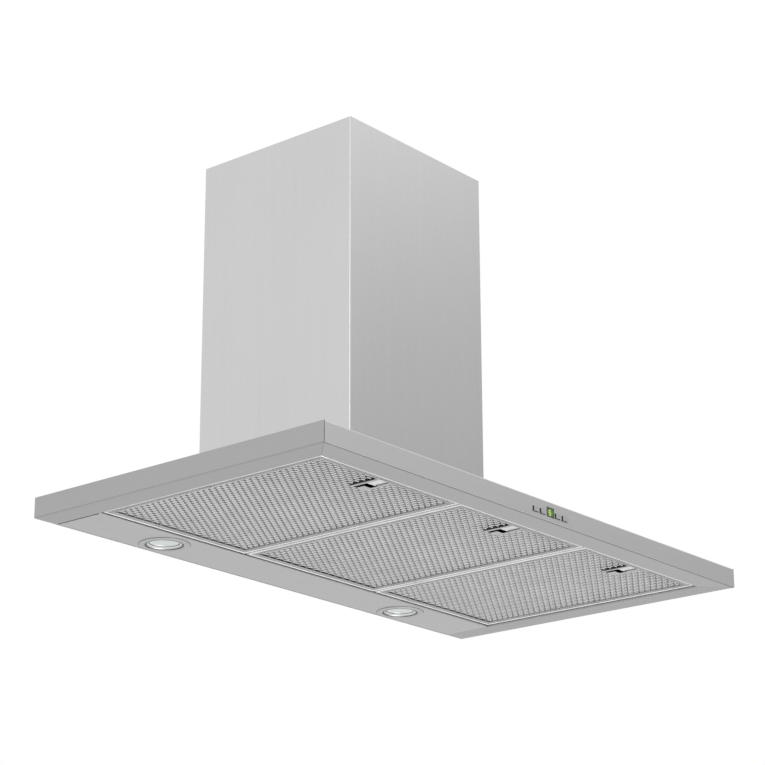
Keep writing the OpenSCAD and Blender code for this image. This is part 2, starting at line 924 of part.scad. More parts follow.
// ---------- fasteners ----------

module blower_screws() {
    color("dimgrey") {
        for (p = blower_screw_at)
            translate([p.x, p.y, canopy_h + sheet])
                screw(2 * sheet);
        for (p = collar_screw_at)
            translate([p.x, p.y, box_top + 1.2])
                screw(1.2 + sheet);
        for (p = frame_screw_at)
            translate([p.x, box_rear + 1.5, p.y])
                rotate([-90, 0, 0])
                    screw(1.5 + sheet);
    }
}

module flue_screws() {
    color("dimgrey")
        for (p = flue_screw_at)
            translate([p.x, p.y, canopy_h + sheet])
                screw(2 * sheet);
}

// ---------- the nodes ----------

canopy_shell();
left_side_panel();
right_side_panel();
front_rim();
lamp_panel();
filter_frame(filter_x[0]);  // left_filter_frame
filter_mesh(filter_x[0]);  // left_filter_mesh
latch_tray(filter_x[0]);  // left_latch_tray
latch_slide(filter_x[0]);  // left_latch_slide
latch_spring(filter_x[0]);  // left_latch_spring
filter_frame(filter_x[1]);  // middle_filter_frame
filter_mesh(filter_x[1]);  // middle_filter_mesh
latch_tray(filter_x[1]);  // middle_latch_tray
latch_slide(filter_x[1]);  // middle_latch_slide
latch_spring(filter_x[1]);  // middle_latch_spring
filter_frame(filter_x[2]);  // right_filter_frame
filter_mesh(filter_x[2]);  // right_filter_mesh
latch_tray(filter_x[2]);  // right_latch_tray
latch_slide(filter_x[2]);  // right_latch_slide
latch_spring(filter_x[2]);  // right_latch_spring
button(button_x[0]);  // button_1
button(button_x[1]);  // button_2
button(button_x[2]);  // button_3
button(button_x[3]);  // button_4
display_window();
display_module();
control_housing();
control_board();
tact_switches();
lamp_bezel(-lamp_x);  // left_lamp_bezel
lamp_glass(-lamp_x);  // left_lamp_glass
lamp_can(-lamp_x);  // left_lamp_can
lamp_bulb(-lamp_x);  // left_lamp_bulb
lamp_bezel(lamp_x);  // right_lamp_bezel
lamp_glass(lamp_x);  // right_lamp_glass
lamp_can(lamp_x);  // right_lamp_can
lamp_bulb(lamp_x);  // right_lamp_bulb
lamp_driver();
lamp_leads();
blower_leads();
blower_box();
scroll_half(-1);  // scroll_left_half
scroll_half(1);  // scroll_right_half
impeller();
motor_shaft();
motor();
motor_bracket();
outlet_collar();
damper_flap(-1);  // front_damper_flap
damper_flap(1);  // rear_damper_flap
damper_pins();
junction_box();
junction_box_lid();
cable_gland();
wall_frame();
lower_flue();
upper_flue();
flue_bracket();
blower_screws();
flue_screws();
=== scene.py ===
# Looks of a wall-mounted chimney range hood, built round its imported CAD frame.
# Metres. +X is to the right seen from the front, +Y to the wall, +Z up.
import math

import bmesh
import bpy
from mathutils import Matrix, Vector


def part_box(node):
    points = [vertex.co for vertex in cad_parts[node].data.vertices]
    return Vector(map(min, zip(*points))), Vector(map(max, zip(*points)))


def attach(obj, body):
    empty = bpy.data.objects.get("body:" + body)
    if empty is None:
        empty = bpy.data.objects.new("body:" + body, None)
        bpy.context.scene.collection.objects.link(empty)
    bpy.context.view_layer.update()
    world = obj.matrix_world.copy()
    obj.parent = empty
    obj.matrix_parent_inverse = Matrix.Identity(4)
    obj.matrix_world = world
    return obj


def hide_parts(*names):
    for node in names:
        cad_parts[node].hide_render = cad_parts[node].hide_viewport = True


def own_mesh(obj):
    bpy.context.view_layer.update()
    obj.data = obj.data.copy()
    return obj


MM = 0.001
SIDES = ("left", "middle", "right")
LAMPS = ("left", "right")
BUTTONS = (1, 2, 3, 4)

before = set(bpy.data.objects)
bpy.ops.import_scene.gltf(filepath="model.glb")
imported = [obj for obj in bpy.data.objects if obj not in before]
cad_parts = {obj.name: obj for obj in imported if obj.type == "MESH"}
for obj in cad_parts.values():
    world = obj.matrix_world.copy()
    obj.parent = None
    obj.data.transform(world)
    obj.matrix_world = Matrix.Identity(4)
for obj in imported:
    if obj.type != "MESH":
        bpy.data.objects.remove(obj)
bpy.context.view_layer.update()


# ---------- shader helpers ----------

NOISE_LOW, NOISE_HIGH = 0.3, 0.7     # most of a noise lies between these
SHADE_DROP = 0.6                           # painted shade lowers such a tone by up to this, to SHADE_LIMIT or less
SHADE_LIMIT = 0.1                          # painted shade: the tone that is shown as SHADE_GREY


def grey(value, tint=(1.0, 1.0, 1.0)):
    return tuple(value * t for t in tint)


# painted shade: the near-black grey that recesses turn to
SHADE_GREY = grey(0.035)


class Shader:
    """One material and short ways to add nodes to it."""

    def __init__(self, name):
        self.material = bpy.data.materials.new(name)
        self.material.use_nodes = True
        self.tree = self.material.node_tree
        self.bsdf = self.tree.nodes["Principled BSDF"]
        self.coords = self.tree.nodes.new("ShaderNodeTexCoord").outputs["Object"]

    def set(self, **values):
        """Sets numbers on the Principled shader: metallic=1, coat_weight=0.4 ..."""
        for key, value in values.items():
            socket_name = key.replace("_", " ").title().replace("Ior", "IOR")
            self.bsdf.inputs[socket_name].default_value = value

    def link(self, output, socket_name):
        self.tree.links.new(output, self.bsdf.inputs[socket_name])

    def scaled(self, cells, offset=(0, 0, 0)):
        """Object coordinates less offset, times cells per metre: one number, or one for each axis."""
        scale = (cells,) * 3 if isinstance(cells, (int, float)) else cells
        node = self.tree.nodes.new("ShaderNodeMapping")
        node.inputs["Scale"].default_value = scale
        node.inputs["Location"].default_value = [-o * s for o, s in zip(offset, scale)]
        self.tree.links.new(self.coords, node.inputs["Vector"])
        return node.outputs["Vector"]

    def noise(self, cells, detail=2.0):
        """Noise with cells per metre as for scaled."""
        node = self.tree.nodes.new("ShaderNodeTexNoise")
        node.inputs["Scale"].default_value = 1
        node.inputs["Detail"].default_value = detail
        self.tree.links.new(self.scaled(cells), node.inputs["Vector"])
        return node.outputs["Fac"]

    def voronoi(self, cells, output="Color"):
        node = self.tree.nodes.new("ShaderNodeTexVoronoi")
        node.inputs["Scale"].default_value = 1
        self.tree.links.new(self.scaled(cells), node.inputs["Vector"])
        return node.outputs[output]

    def along(self, axis, start, end):
        """0 at start and 1 at end, two places in metres along axis 0, 1 or 2."""
        split = self.tree.nodes.new("ShaderNodeSeparateXYZ")
        self.tree.links.new(self.coords, split.inputs["Vector"])
        return self.spread(split.outputs[axis], 0, 1, start, end)

    def spread(self, output, low, high, low_in=NOISE_LOW, high_in=NOISE_HIGH):
        """Maps low_in..high_in to low..high; left out, they are a noise's middle range."""
        node = self.tree.nodes.new("ShaderNodeMapRange")
        node.inputs["From Min"].default_value = low_in
        node.inputs["From Max"].default_value = high_in
        node.inputs["To Min"].default_value = low
        node.inputs["To Max"].default_value = high
        self.tree.links.new(output, node.inputs["Value"])
        return node.outputs["Result"]

    def ramp(self, output, *stops):
        """A colour ramp through stops of (place, (r, g, b))."""
        node = self.tree.nodes.new("ShaderNodeValToRGB")
        elements = node.color_ramp.elements
        while len(elements) < len(stops):
            elements.new(0.5)
        for element, (place, colour) in zip(elements, stops):
            element.position = place
            element.color = (*colour, 1)
        self.tree.links.new(output, node.inputs["Fac"])
        return node.outputs["Color"]

    def tones(self, noise, dark, light):
        """A ramp from dark to light over a noise's middle range."""
        return self.ramp(noise, (NOISE_LOW, dark), (NOISE_HIGH, light))

    def fading_tones(self, noise, dark, light, fade):
        """The same with painted shade, turning SHADE_GREY between two places along an axis; fade is all
        three, or None.
        """
        if fade:
            noise = self.math("SUBTRACT", noise, self.math("MULTIPLY", self.along(*fade), SHADE_DROP))
        return self.ramp(noise, (SHADE_LIMIT, SHADE_GREY), (NOISE_LOW, dark), (NOISE_HIGH, light))

    def math(self, operation, a, b):
        node = self.tree.nodes.new("ShaderNodeMath")
        node.operation = operation
        for socket, value in zip(node.inputs, (a, b)):
            if isinstance(value, (int, float)):
                socket.default_value = value
            else:
                self.tree.links.new(value, socket)
        return node.outputs[0]

    def bump(self, height, distance):
        """Bump from a height of 0 to 1 over distance metres."""
        node = self.tree.nodes.new("ShaderNodeBump")
        node.inputs["Distance"].default_value = distance
        self.tree.links.new(height, node.inputs["Height"])
        self.link(node.outputs["Normal"], "Normal")


def brushed(name, level, grain, roughness=0.3, fade=None):
    """Brushed sheet steel with its grain along axis 0, 1 or 2.

    fade is where painted shade turns the steel dark: an axis and two places along it.
    """
    shader = Shader(name)
    fine = [2600.0] * 3
    fine[grain] = 9.0
    broad = [90.0] * 3
    broad[grain] = 1.6
    uneven = 0.015
    lines = shader.noise(fine, detail=3)
    streaks = shader.noise(broad, detail=2)
    cloud = shader.noise(5, detail=1)
    tone = shader.math("ADD", shader.math("MULTIPLY", streaks, 0.5), shader.math("MULTIPLY", cloud, 0.5))
    colour = shader.fading_tones(tone, grey(level * (1 - uneven)), grey(level * (1 + uneven)), fade)
    shader.link(colour, "Base Color")
    shader.link(shader.spread(lines, roughness - 0.04, roughness + 0.05), "Roughness")
    shader.bump(lines, 0.006 * MM)
    shader.set(metallic=1.0)
    return shader.material


def cast_metal(name, level, roughness, tint=(1, 1, 1), fade=None):
    """Plain metal with a faint mottle and fine random scratches; fade places painted shade as for brushed.
    """
    shader = Shader(name)
    mottled = shader.noise(900, detail=3)
    cloud = shader.noise(40, detail=2)
    colour = shader.fading_tones(cloud, grey(level * 0.93, tint), grey(level * 1.05, tint), fade)
    shader.link(colour, "Base Color")
    shader.link(shader.spread(mottled, roughness - 0.06, roughness + 0.1), "Roughness")
    shader.bump(mottled, 0.02 * MM)
    shader.set(metallic=1.0)
    return shader.material


def galvanised(name):
    """Zinc-coated sheet: crystals about 12 mm across, each with its own grey."""
    shader = Shader(name)
    cells = shader.voronoi(80)
    crystal = shader.tree.nodes.new("ShaderNodeSeparateColor")
    shader.tree.links.new(cells, crystal.inputs["Color"])
    grain = shader.noise(1400, detail=2)
    dark = grey(0.36, (0.97, 1, 1.03))
    light = grey(0.56, (0.98, 1, 1.01))
    shader.link(shader.ramp(crystal.outputs["Red"], (0, dark), (1, light)), "Base Color")
    shader.link(shader.spread(crystal.outputs["Green"], 0.32, 0.5, 0, 1), "Roughness")
    shader.bump(grain, 0.015 * MM)
    shader.set(metallic=0.9)
    return shader.material


def moulded(name, colour, roughness=0.5, texture=1300.0, depth=0.03):
    """Moulded plastic with a spark-eroded surface and faint flow marks."""
    shader = Shader(name)
    eroded = shader.noise(texture, detail=3)
    flow = shader.noise((25, 25, 8), detail=2)
    dark = tuple(c * 0.88 for c in colour)
    light = tuple(min(1.0, c * 1.12) for c in colour)
    shader.link(shader.tones(flow, dark, light), "Base Color")
    shader.link(shader.spread(eroded, roughness - 0.07, roughness + 0.08), "Roughness")
    shader.bump(eroded, depth * MM)
    return shader.material


def circuit_board(name):
    """Green solder resist over copper tracks."""
    shader = Shader(name)
    tracks = shader.voronoi((350, 350, 900), "Distance")
    shader.link(shader.ramp(tracks, (0.2, (0.02, 0.13, 0.05)), (0.35, (0.01, 0.07, 0.03))), "Base Color")
    shader.link(shader.spread(shader.noise(800), 0.3, 0.45), "Roughness")
    shader.bump(tracks, 0.03 * MM)
    shader.set(coat_weight=0.4)
    return shader.material


def lit_display(name, node):
    """Backlit olive liquid crystal, darker towards its corners."""
    low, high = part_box(node)
    centre = (low + high) / 2
    shader = Shader(name)
    reach = shader.tree.nodes.new("ShaderNodeVectorMath")
    reach.operation = "LENGTH"
    dimming = (100, 0, 110)      # the reach grows by 1 in 10 mm to the side, or in 9 mm up or down
    shader.tree.links.new(shader.scaled(dimming, centre), reach.inputs[0])
    grain = shader.noise(1500)
    fade = shader.math("ADD", reach.outputs["Value"], shader.math("MULTIPLY", grain, 0.1))
    colour = shader.ramp(fade, (0.3, (0.1, 0.18, 0.03)), (0.85, (0.02, 0.035, 0.01)))
    shader.link(colour, "Base Color")
    shader.link(colour, "Emission Color")
    shader.link(shader.spread(grain, 0.12, 0.2), "Roughness")
    shader.set(emission_strength=0.35, coat_weight=0.5)
    return shader.material


def lit_digit(name):
    shader = Shader(name)
    glow = shader.noise(900)
    colour = shader.tones(glow, (0.38, 0.58, 0.12), (0.46, 0.68, 0.18))
    shader.link(colour, "Base Color")
    shader.link(colour, "Emission Color")
    shader.link(shader.spread(glow, 0.3, 0.4), "Roughness")
    shader.set(emission_strength=0.55)
    return shader.material


def pressed_glass(name):
    """Slightly green lamp glass with a fine hammered back, grey enough not to glare over low_box."""
    shader = Shader(name)
    hammered = shader.voronoi(420, "Distance")
    colour = shader.tones(shader.noise(60), (0.6, 0.66, 0.635), (0.66, 0.71, 0.695))
    shader.link(colour, "Base Color")
    shader.link(shader.spread(hammered, 0.1, 0.24, 0, 1), "Roughness")
    shader.bump(hammered, 0.08 * MM)
    shader.set(transmission_weight=0.15, ior=1.5)
    return shader.material


def make_materials():
    """All materials. The greys suit this scene's lights; the mesh is dark because low_box is bright."""
    # Painted shade: the buttons' sides turn dark from just behind their faces.
    button_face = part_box("button_1")[0].y
    button_painted_shade = (1, button_face + 0.25 * MM, button_face + 0.45 * MM)
    # Painted shade: the latch trays turn dark higher up in their recesses.
    tray_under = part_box("middle_latch_tray")[0].z
    tray_painted_shade = (2, tray_under + 1.4 * MM, tray_under + 3.5 * MM)
    return {
        "canopy_x": brushed("brushed_steel_along_x", 0.62, 0, 0.38),
        # Painted shade: rim, panel and canopy_y are darker copies of the canopy's brushed steel, for faces
        # that look darker under these lights.
        "rim": brushed("brushed_rim_painted_shade", 0.425, 0),
        "panel": brushed("brushed_lamp_panel_painted_shade", 0.5, 0),
        "canopy_y": brushed("brushed_steel_along_y_painted_shade", 0.395, 1),
        "flue": brushed("brushed_steel_along_z", 0.6, 2),
        "button": brushed("button_steel", 0.62, 0, 0.24, button_painted_shade),
        "frame": cast_metal("filter_aluminium", 0.47, 0.26),
        "mesh": cast_metal("expanded_aluminium", 0.15, 0.1),
        "latch": cast_metal("latch_steel", 0.85, 0.14),
        "tray": cast_metal("tray_steel_painted_shade", 0.5, 0.2, fade=tray_painted_shade),
        "bead": cast_metal("filter_bead", 0.93, 0.18),
        "spring": cast_metal("spring_steel", 0.55, 0.22),
        "trim": cast_metal("lamp_trim", 0.5, 0.36),
        "reflector": cast_metal("lamp_reflector", 0.86, 0.08, (0.98, 1, 1)),
        "zinc": galvanised("galvanised_steel"),
        "black": moulded("black_plastic", (0.028, 0.028, 0.03)),
        "white": moulded("white_plastic", (0.74, 0.74, 0.72), 0.42),
        "ceramic": moulded("bulb_ceramic", (0.82, 0.82, 0.78), 0.35, 700.0),
        "rubber": moulded("lead_rubber", (0.72, 0.71, 0.66), 0.55, 2200.0, 0.015),
        "motor": moulded("motor_paint", (0.06, 0.065, 0.075), 0.38, 500.0, 0.05),
        "board": circuit_board("circuit_board"),
        "display": lit_display("display_glass", "display_window"),
        "digit": lit_digit("display_digit"),
        "glass": pressed_glass("lamp_glass"),
    }


MATERIALS = make_materials()


def node_names(pattern, names):
    return [pattern.format(n) for n in names]


NODE_MATERIALS = {
    "canopy_x": ["canopy_shell"],
    "rim": ["front_rim"],
    "panel": ["lamp_panel"],
    "canopy_y": ["left_side_panel", "right_side_panel"],
    "flue": ["lower_flue", "upper_flue"],
    "button": node_names("button_{}", BUTTONS),
    "frame": node_names("{}_filter_frame", SIDES),
    "mesh": node_names("{}_filter_mesh", SIDES),
    "tray": node_names("{}_latch_tray", SIDES),
    "latch": node_names("{}_latch_slide", SIDES),
    "spring": [*node_names("{}_latch_spring", SIDES), "damper_pins", "motor_shaft", "blower_screws",
               "flue_screws"],
    "trim": node_names("{}_lamp_bezel", LAMPS),
    "zinc": [*node_names("{}_lamp_can", LAMPS), "blower_box", "motor_bracket", "wall_frame", "flue_bracket"],
    "black": ["control_housing", "display_module", "tact_switches", "scroll_left_half", "scroll_right_half",
              "impeller", "outlet_collar", "front_damper_flap", "rear_damper_flap", "cable_gland"],
    "white": ["junction_box", "junction_box_lid", "lamp_driver"],
    "ceramic": node_names("{}_lamp_bulb", LAMPS),
    "rubber": ["lamp_leads", "blower_leads"],
    "motor": ["motor"],
    "board": ["control_board"],
    "display": ["display_window"],
    "glass": node_names("{}_lamp_glass", LAMPS),
}


def dress_nodes():
    for key, names in NODE_MATERIALS.items():
        for name in names:
            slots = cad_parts[name].data.materials
            slots.clear()
            slots.append(MATERIALS[key])


BEVELS = {
    0.25 * MM: [*node_names("button_{}", BUTTONS), *node_names("{}_latch_slide", SIDES), "junction_box_lid"],
    1.2 * MM: ["lamp_driver"],
    2 * MM: ["blower_leads"],
}


def soften_edges():
    """Small bevels where a part's edges are broken, and round leads."""
    for width, names in BEVELS.items():
        for name in names:
            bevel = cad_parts[name].modifiers.new("edge", "BEVEL")
            bevel.width = width
            bevel.segments = 3
            bevel.limit_method = "ANGLE"
            bevel.angle_limit = math.radians(50)
            bevel.use_clamp_overlap = True


# ---------- mesh helpers ----------

def make_object(name, bm, material, body, smooth_angle=math.radians(35)):
    """Turns bm into a piece that rides on body."""
    mesh = bpy.data.meshes.new(name)
    bmesh.ops.recalc_face_normals(bm, faces=bm.faces)
    bm.to_mesh(mesh)
    bm.free()
    mesh.materials.append(MATERIALS[material])
    obj = bpy.data.objects.new(name, mesh)
    bpy.context.scene.collection.objects.link(obj)
    if smooth_angle:
        mesh.shade_smooth()
        mesh.set_sharp_from_angle(angle=smooth_angle)
    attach(obj, body)
    return obj


def bridge(bm, ring_a, ring_b):
    """Quads between two closed rings of vertices of the same length."""
    count = len(ring_a)
    for i in range(count):
        j = (i + 1) % count
        bm.faces.new((ring_a[i], ring_a[j], ring_b[j], ring_b[i]))


def bridge_loop(bm, rings):
    """Bridges each ring to the next, and the last to the first."""
    for i, ring in enumerate(rings):
        bridge(bm, ring, rings[(i + 1) % len(rings)])


def tube(bm, rings):
    """Bridges each ring to the next and caps the ends."""
    for near, far in zip(rings, rings[1:]):
        bridge(bm, near, far)
    bm.faces.new(rings[0])
    bm.faces.new(rings[-1])


def lathe(bm, centre, profile, steps=96):
    """Turns a closed profile of (radius, z) points round the vertical line through centre."""
    rings = []
    for i in range(steps):
        turn = 2 * math.pi * i / steps
        rings.append([
            bm.verts.new((centre[0] + r * math.cos(turn), centre[1] + r * math.sin(turn), z))
            for r, z in profile
        ])
    bridge_loop(bm, rings)


def rectangle_bead(bm, low, high, profile):
    """Sweeps a closed profile of (outward, z) points round a rectangle with mitred corners."""
    rings = []
    for sx, sy in ((-1, -1), (1, -1), (1, 1), (-1, 1)):
        x = high.x if sx > 0 else low.x
        y = high.y if sy > 0 else low.y
        rings.append([bm.verts.new((x + sx * out, y + sy * out, z)) for out, z in profile])
    bridge_loop(bm, rings)


def half_round(centre, base_z, radius):
    """A closed half-round profile whose flat side is on base_z and whose crown points down."""
    steps = 8
    turns = [math.pi * i / steps for i in range(steps + 1)]
    return [(centre + radius * math.cos(turn), base_z - radius * math.sin(turn)) for turn in turns]


def solid_between(bm, near, far):
    """A solid with two outlines of new vertices as its ends."""
    ends = [[bm.verts.new(spot) for spot in spots] for spots in (near, far)]
    bm.faces.new(ends[0])
    bm.faces.new(list(reversed(ends[1])))
    bridge(bm, *ends)


def prism(bm, outline, low_y, high_y):
    """A solid between two planes of y, from an outline of (x, z) points."""
    solid_between(bm, *([(x, y, z) for x, z in outline] for y in (low_y, high_y)))


# ---------- expanded aluminium ----------

DIAMOND_LONG = 15.5 * MM     # along X
DIAMOND_SHORT = 10 * MM      # along Y
STRAND_W = 1.7 * MM
STRAND_T = 0.6 * MM
STRAND_TILT = math.radians(-35)
MESH_LAYERS = 2
LAYER_SHIFT_X = 0.37         # of half a diamond, so that the layers don't line up
LAYER_SHIFT_Y = 0.61
SPARE_ROWS = 4               # beyond the outline, to be cut off
SPARE_LINKS = 6
CUT_TOLERANCE = 1e-7
MESH_UNDER_BAND = 0.35 * MM  # the mesh ends inside the turned-up hem of the band
BAND_BEHIND_MESH = 1.2 * MM  # from the CAD mesh's rear edge to the band's
REAR_ALLOWANCE = 1 * MM      # a little less, so that the mesh's rear edge ends inside the hem too
NOTCH_GAP = 0.3 * MM         # between the mesh and a latch tray


def strand_row(bm, start_x, count, y, z, parity):
    """One zigzag strand along X; its peaks meet the valleys of the next row."""
    across = Vector((0, math.cos(STRAND_TILT), math.sin(STRAND_TILT))) * STRAND_W / 2
    through = Vector((0, -math.sin(STRAND_TILT), math.cos(STRAND_TILT))) * STRAND_T / 2
    swing = (DIAMOND_SHORT / 2 - 2 * across.y) / 2
    rings = []
    for k in range(count):
        side = -1 if (k + parity) % 2 else 1
        middle = Vector((start_x + k * DIAMOND_LONG / 2, y + side * swing, z - side * across.z))
        rings.append([
            bm.verts.new(middle + a * across + t * through)
            for a, t in ((-1, -1), (1, -1), (1, 1), (-1, 1))
        ])
    tube(bm, rings)


def cut(bm, point, normal, drop_outer=True):
    """Cuts bm at a plane; drop_outer drops what lies on the normal's side too, and caps the cut strands."""
    everything = list(bm.verts) + list(bm.edges) + list(bm.faces)
    bmesh.ops.bisect_plane(bm, geom=everything, plane_co=point, plane_no=normal, dist=CUT_TOLERANCE,
                           clear_outer=drop_outer)
    if drop_outer:
        cap_holes(bm)


def cap_holes(bm):
    """Closes the ends of strands that a cut has opened."""
    rims = [e for e in bm.edges if len(e.link_faces) == 1]
    bmesh.ops.holes_fill(bm, edges=rims, sides=8)


def expanded_mesh(low, high, notch_half, notch_y):
    """Layers of expanded sheet that fill low..high, with a notch in the middle of the front."""
    bm = bmesh.new()
    rows = int((high.y - low.y) / (DIAMOND_SHORT / 2)) + SPARE_ROWS
    links = int((high.x - low.x) / (DIAMOND_LONG / 2)) + SPARE_LINKS
    rise = STRAND_W * abs(math.sin(STRAND_TILT)) / 2 + STRAND_T
    pitch = (high.z - low.z - 2 * rise) / (MESH_LAYERS - 1)
    for layer in range(MESH_LAYERS):
        start_x = low.x - DIAMOND_LONG - (layer * LAYER_SHIFT_X % 1) * DIAMOND_LONG / 2
        start_y = low.y - DIAMOND_SHORT / 2 + (layer * LAYER_SHIFT_Y % 1) * DIAMOND_SHORT / 2
        z = low.z + rise + layer * pitch
        for row in range(rows):
            strand_row(bm, start_x, links, start_y + row * DIAMOND_SHORT / 2, z, row)
    for point, normal in ((low, (-1, 0, 0)), (high, (1, 0, 0)), (low, (0, -1, 0)), (high, (0, 1, 0))):
        cut(bm, point, normal)
    for point, normal in (((-notch_half, 0, 0), (1, 0, 0)), ((notch_half, 0, 0), (1, 0, 0)),
                          ((0, notch_y, 0), (0, 1, 0))):
        cut(bm, point, normal, drop_outer=False)
    inside = [f for f in bm.faces
              if abs(f.calc_center_median().x) < notch_half and f.calc_center_median().y < notch_y]
    bmesh.ops.delete(bm, geom=inside, context="FACES")
    cap_holes(bm)
    return bm


def build_filters():
    """Expanded mesh, rolled beads, a hem and a black strip of painted shade beside the latch for each
    filter.
    """
    middle_low, middle_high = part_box("middle_filter_frame")
    tray_low, tray_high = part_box("middle_latch_tray")
    band = tray_low.y - middle_low.y
    mesh_low, mesh_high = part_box("middle_filter_mesh")
    reach = band - MESH_UNDER_BAND
    spare_z = 0.1 * MM
    rear = mesh_high.y - reach + REAR_ALLOWANCE
    low = Vector((middle_low.x + reach, middle_low.y + reach, mesh_low.z - spare_z))
    high = Vector((middle_high.x - reach, rear, mesh_high.z + spare_z))
    shared = None
    for side in SIDES:
        frame_low, frame_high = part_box(f"{side}_filter_frame")
        centre_x = (frame_low.x + frame_high.x) / 2
        name = f"{side}_expanded_mesh"
        if shared is None:
            bm = expanded_mesh(low, high, tray_high.x + NOTCH_GAP, tray_high.y + NOTCH_GAP)
            obj = make_object(name, bm, "mesh", f"{side}_filter", smooth_angle=None)
            shared = obj.data
            obj.matrix_world = Matrix.Translation((centre_x, 0, 0))
        else:
            obj = bpy.data.objects.new(name, shared)
            bpy.context.scene.collection.objects.link(obj)
            obj.location.x = centre_x
            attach(obj, f"{side}_filter")
        if side == SIDES[0]:
            # again, because the first mesh has been moved since make_object
            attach(obj, f"{side}_filter")
        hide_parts(f"{side}_filter_mesh")
        build_filter_beads(side, frame_low, frame_high, band)
        build_filter_hem(side, frame_low, frame_high, band)
        build_latch_gasket(side)


def build_filter_beads(side, low, high, band):
    """The rolled lips on the band's outer and inner edges."""
    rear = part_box(f"{side}_filter_mesh")[1].y + BAND_BEHIND_MESH
    outer_high = Vector((high.x, rear, high.z))
    sunk = 0.1 * MM
    outer_inset = 3.6 * MM
    inner_inset = band - 1.2 * MM
    for name, inset, radius, material in (("outer", outer_inset, 1.3 * MM, "bead"),
                                          ("inner", inner_inset, 1.1 * MM, "frame")):
        shift = Vector((inset, inset, 0))
        bm = bmesh.new()
        rectangle_bead(bm, low + shift, outer_high - shift, half_round(0, low.z + sunk, radius))
        make_object(f"{side}_{name}_bead", bm, material, f"{side}_filter")


def build_filter_hem(side, low, high, band):
    """The band's inner edge turned up beside the mesh; the front stays open for the latch."""
    mesh_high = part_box(f"{side}_filter_mesh")[1]
    wall = 0.5 * MM
    out = 0.6 * MM               # from the band's inner edge to the hem's outer face
    under_z = low.z + 0.2 * MM
    left, right = low.x + band - out, high.x - band + out
    front, rear = low.y + band, mesh_high.y + BAND_BEHIND_MESH - band + out
    outline = [(left, front), (left, rear), (right, rear), (right, front), (right - wall, front),
               (right - wall, rear - wall), (left + wall, rear - wall), (left + wall, front)]
    bm = bmesh.new()
    solid_between(bm, *([(x, y, z) for x, y in outline] for z in (under_z, mesh_high.z)))
    make_object(f"{side}_filter_hem", bm, "bead", f"{side}_filter", smooth_angle=None)


def build_latch_gasket(side):
    """A black half-round strip along the left edge of a latch tray: painted shade for the dark gap there."""
    low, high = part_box(f"{side}_latch_tray")
    radius = 1.2 * MM
    gap = 0.1 * MM
    seat_z = low.z + 0.6 * MM
    short_front = 6 * MM
    short_rear = 3 * MM
    bm = bmesh.new()
    prism(bm, half_round(low.x - radius - gap, seat_z, radius), low.y + short_front, high.y - short_rear)
    make_object(f"{side}_latch_shadow_strip", bm, "black", f"{side}_filter")


# ---------- lamps ----------

GROOVE_IN = 9.3 * MM         # from a lamp trim's edge in to the middle of its groove
GLASS_EDGE_IN = 14 * MM      # and to the edge of the glass that shows
CONE_SLOPE = 0.81            # rise of the trim's cone for each unit inwards
# painted shade: the radius of the black rings round the trim's edge and the glass
SHADOW_RING_R = 0.6 * MM


def build_lamps():
    for side in LAMPS:
        low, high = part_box(f"{side}_lamp_glass")
        centre = (low + high) / 2
        radius = (high.x - low.x) / 2
        build_lamp_glass(side, centre, low.z, high.z, radius)
        build_reflector(side, centre, high.z, radius)
        build_lamp_seals(side, centre)


def build_lamp_glass(side, centre, low_z, high_z, radius):
    """A glass with a ground edge and a shallow dished underside."""
    bm = bmesh.new()
    chamfer = 0.4 * MM
    dish = 0.7 * MM
    dish_r = radius * 0.9
    pinhole = 0.02 * MM          # left along the axis
    steps = 8
    under = [(dish_r * i / steps + pinhole, low_z + dish * (1 - (i / steps) ** 2)) for i in range(steps + 1)]
    profile = under + [(radius - chamfer, low_z), (radius, low_z + chamfer), (radius, high_z - chamfer),
                       (radius - chamfer, high_z), (pinhole, high_z)]
    lathe(bm, centre, profile)
    glass = make_object(f"{side}_lamp_lens", bm, "glass", "canopy")
    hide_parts(f"{side}_lamp_glass")


def build_reflector(side, centre, base_z, radius):
    """A bowl of polished facets round the bulb."""
    bm = bmesh.new()
    facets = 24
    rise = 12.5 * MM
    wall = 0.4 * MM
    gap = 0.4 * MM               # above the glass
    mouth = radius - 1 * MM
    narrowing = radius - 11 * MM
    curve = 1.6
    steps = 5
    inner = [(mouth - narrowing * (i / steps) ** curve, base_z + gap + rise * i / steps)
             for i in range(steps + 1)]
    outer = [(r + wall, z + wall) for r, z in reversed(inner)]
    lathe(bm, centre, inner + outer, facets)
    make_object(f"{side}_lamp_reflector", bm, "reflector", "canopy", smooth_angle=None)


def build_lamp_seals(side, centre):
    """Black rings in the trim's groove, round the trim's edge and round the glass: painted shade for the
    dark lines there.
    """
    low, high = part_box(f"{side}_lamp_bezel")
    trim_r = (high.x - low.x) / 2
    panel_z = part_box("lamp_panel")[0].z
    glass_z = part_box(f"{side}_lamp_glass")[0].z
    half = 1.1 * MM
    inner_r, outer_r = trim_r - GROOVE_IN - half, trim_r - GROOVE_IN + half
    chamfer = 0.15 * MM
    face_z = low.z + 0.02 * MM
    root_z = panel_z + 0.1 * MM
    outline_z = panel_z + 0.3 * MM
    cone_top = glass_z - 0.4 * MM
    glass_edge = trim_r - GLASS_EDGE_IN
    inset = 0.2 * MM
    bm = bmesh.new()
    lathe(bm, centre, [(inner_r, root_z), (inner_r, face_z + chamfer), (inner_r + chamfer, face_z),
                       (outer_r - chamfer, face_z), (outer_r, face_z + chamfer), (outer_r, root_z)])
    lathe(bm, centre, half_round(trim_r, outline_z, SHADOW_RING_R))
    lathe(bm, centre, half_round(glass_edge - inset, glass_z, SHADOW_RING_R))
    make_object(f"{side}_lamp_shadow_rings", bm, "black", "canopy")
    build_lamp_clip(side, centre, glass_edge, cone_top)


